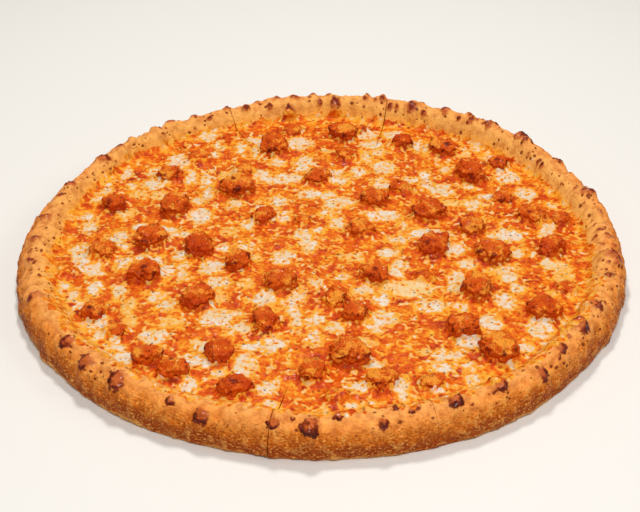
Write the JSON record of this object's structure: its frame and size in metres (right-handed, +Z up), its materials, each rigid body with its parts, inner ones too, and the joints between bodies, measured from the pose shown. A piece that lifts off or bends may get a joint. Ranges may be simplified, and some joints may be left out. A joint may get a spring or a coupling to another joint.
{
  "type": "pan pizza",
  "caption": "Large round baked pizza, cut into wedges, with a thick blistered rim, a bed of melted cheese and orange sauce, and diced browned chicken on top.",
  "frame": {"origin": "centre of the bounding box in plan, on the flat underside of the slices", "axes": "+Z up out of the topping, +Y towards the far side of the table in the picture, +X to the right of the picture"},
  "size_m": [0.4398, 0.4498, 0.0339],
  "materials": {
    "crust": "baked dough, golden, matt, with browned blisters",
    "topping": "melted white cheese streaked with oily orange sauce, half gloss",
    "chicken": "diced chicken coated in orange sauce, browned on top, half gloss"
  },
  "bodies": {
    "root": {"crust_slice_1": "crust", "crust_slice_2": "crust", "crust_slice_3": "crust", "crust_slice_4": "crust", "crust_slice_5": "crust", "crust_slice_6": "crust", "crust_slice_7": "crust", "crust_slice_8": "crust", "topping_slice_1": "topping", "topping_slice_2": "topping", "topping_slice_3": "topping", "topping_slice_4": "topping", "topping_slice_5": "topping", "topping_slice_6": "topping", "topping_slice_7": "topping", "topping_slice_8": "topping", "chicken_01": "chicken", "chicken_02": "chicken", "chicken_03": "chicken", "chicken_04": "chicken", "chicken_05": "chicken", "chicken_06": "chicken", "chicken_07": "chicken", "chicken_08": "chicken", "chicken_09": "chicken", "chicken_10": "chicken", "chicken_11": "chicken", "chicken_12": "chicken", "chicken_13": "chicken", "chicken_14": "chicken", "chicken_15": "chicken", "chicken_16": "chicken", "chicken_17": "chicken", "chicken_18": "chicken", "chicken_19": "chicken", "chicken_20": "chicken", "chicken_21": "chicken", "chicken_22": "chicken", "chicken_23": "chicken", "chicken_24": "chicken", "chicken_25": "chicken", "chicken_26": "chicken", "chicken_27": "chicken", "chicken_28": "chicken", "chicken_29": "chicken", "chicken_30": "chicken", "chicken_31": "chicken", "chicken_32": "chicken", "chicken_33": "chicken", "chicken_34": "chicken", "chicken_35": "chicken", "chicken_36": "chicken", "chicken_37": "chicken", "chicken_38": "chicken", "chicken_39": "chicken", "chicken_40": "chicken", "chicken_41": "chicken", "chicken_42": "chicken", "chicken_43": "chicken", "chicken_44": "chicken"}
  },
  "joints": []
}
